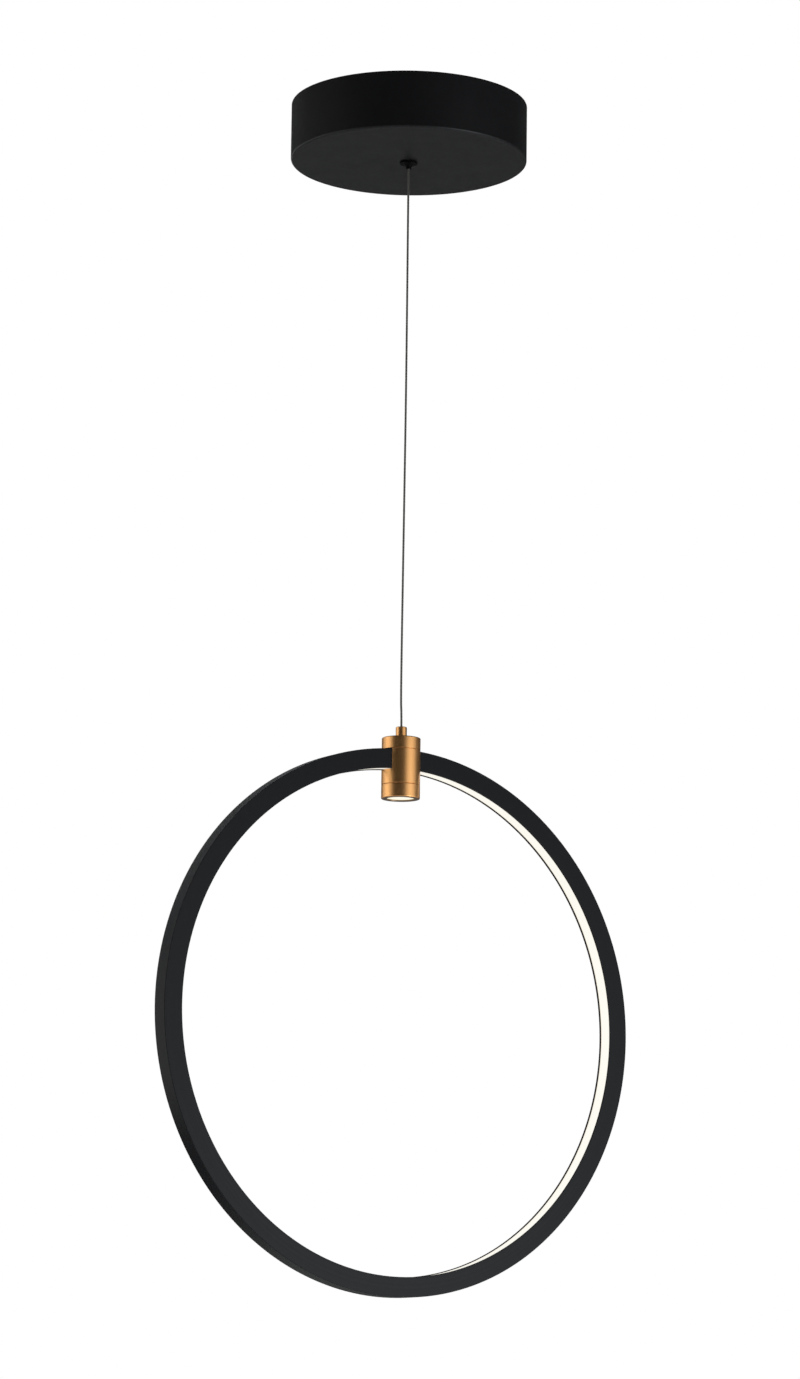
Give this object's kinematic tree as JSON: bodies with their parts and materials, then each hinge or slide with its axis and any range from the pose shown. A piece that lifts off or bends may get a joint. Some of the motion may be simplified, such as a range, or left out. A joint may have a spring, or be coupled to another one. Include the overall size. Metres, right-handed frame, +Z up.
{
  "type": "led pendant light",
  "caption": "Light ring that passes through a small turned head with a downlight, hung on a thin cable from a round ceiling canopy.",
  "frame": {"origin": "on the cable's axis, in the plane of the ceiling where the bracket and the canopy's rim meet it", "axes": "+Z up; the ring stands in the XZ plane, its open face towards -Y and +Y"},
  "size_m": [0.35, 0.1558, 0.7818],
  "materials": {
    "canopy_black": "matte",
    "zinc_plated_steel": "satin",
    "black_screw": "satin",
    "green_screw": "satin",
    "tinned_metal": "satin",
    "earth_insulation": "satin",
    "foam_tape": "matte",
    "driver_plastic": "satin",
    "circuit_board": "satin",
    "component_casing": "satin",
    "terminal_nylon": "satin",
    "brass": "satin",
    "supply_insulation": "satin",
    "grip_nylon": "satin",
    "cable_sheath": "satin",
    "head_gold": "satin",
    "ring_black": "satin",
    "plain_aluminium": "satin",
    "lit_diffuser": "matte",
    "strip_film": "satin",
    "led_package": "gloss",
    "lit_lens": "matte",
    "reflector_white": "gloss"
  },
  "bodies": {
    "canopy": {"canopy_cover": "canopy_black", "mounting_bracket": "zinc_plated_steel", "bracket_ears": "zinc_plated_steel", "canopy_screws": "black_screw", "earth_screw": "green_screw", "earth_lug": "tinned_metal", "earth_lead": "earth_insulation", "driver_tape": "foam_tape", "driver_case": "driver_plastic", "driver_lid": "driver_plastic", "driver_board": "circuit_board", "driver_components": "component_casing", "terminal_tape": "foam_tape", "terminal_block": "terminal_nylon", "terminal_sleeves": "brass", "terminal_screws": "zinc_plated_steel", "supply_leads": "supply_insulation", "cord_grip": "grip_nylon", "grip_screw": "black_screw", "grip_washer": "zinc_plated_steel", "grip_nut": "grip_nylon", "cable_tail": "cable_sheath"},
    "cable_bend": {"cable_bend": "cable_sheath"},
    "cable": {"suspension_cable": "cable_sheath"},
    "cable_end": {"cable_stop": "brass"},
    "pendant": {"cable_collar": "head_gold", "head_cap": "head_gold", "head_body": "head_gold", "head_screws": "zinc_plated_steel", "web_screws": "zinc_plated_steel", "ring_channel": "ring_black", "ring_joiner": "plain_aluminium", "joiner_screws": "black_screw", "ring_diffuser": "lit_diffuser", "led_strip": "strip_film", "strip_leds": "led_package", "strip_leads": "supply_insulation", "downlight_leads": "supply_insulation", "head_bezel": "head_gold", "downlight_lens": "lit_lens", "downlight_reflector": "reflector_white", "led_board": "plain_aluminium", "led_emitter": "led_package", "heat_sink": "plain_aluminium", "retaining_ring": "plain_aluminium"}
  },
  "joints": [
    {"name": "swing_along_ring", "type": "hinge", "parent": "canopy", "child": "cable_bend", "pos_m": [0, 0, -0.04335], "axis": [0, 1, 0], "range_deg": [-30, 30]},
    {"name": "swing_across_ring", "type": "hinge", "parent": "cable_bend", "child": "cable", "pos_m": [0, 0, -0.04335], "axis": [1, 0, 0], "range_deg": [-30, 30]},
    {"name": "drop_adjust", "type": "slide", "parent": "cable", "child": "cable_end", "axis": [0, 0, 1], "range_m": [0, 0.25], "deforming": ["suspension_cable"]},
    {"name": "head_swivel", "type": "hinge", "parent": "cable_end", "child": "pendant", "pos_m": [0, 0, -0.41855], "axis": [0, 0, 1], "range_deg": [-180, 180]}
  ]
}
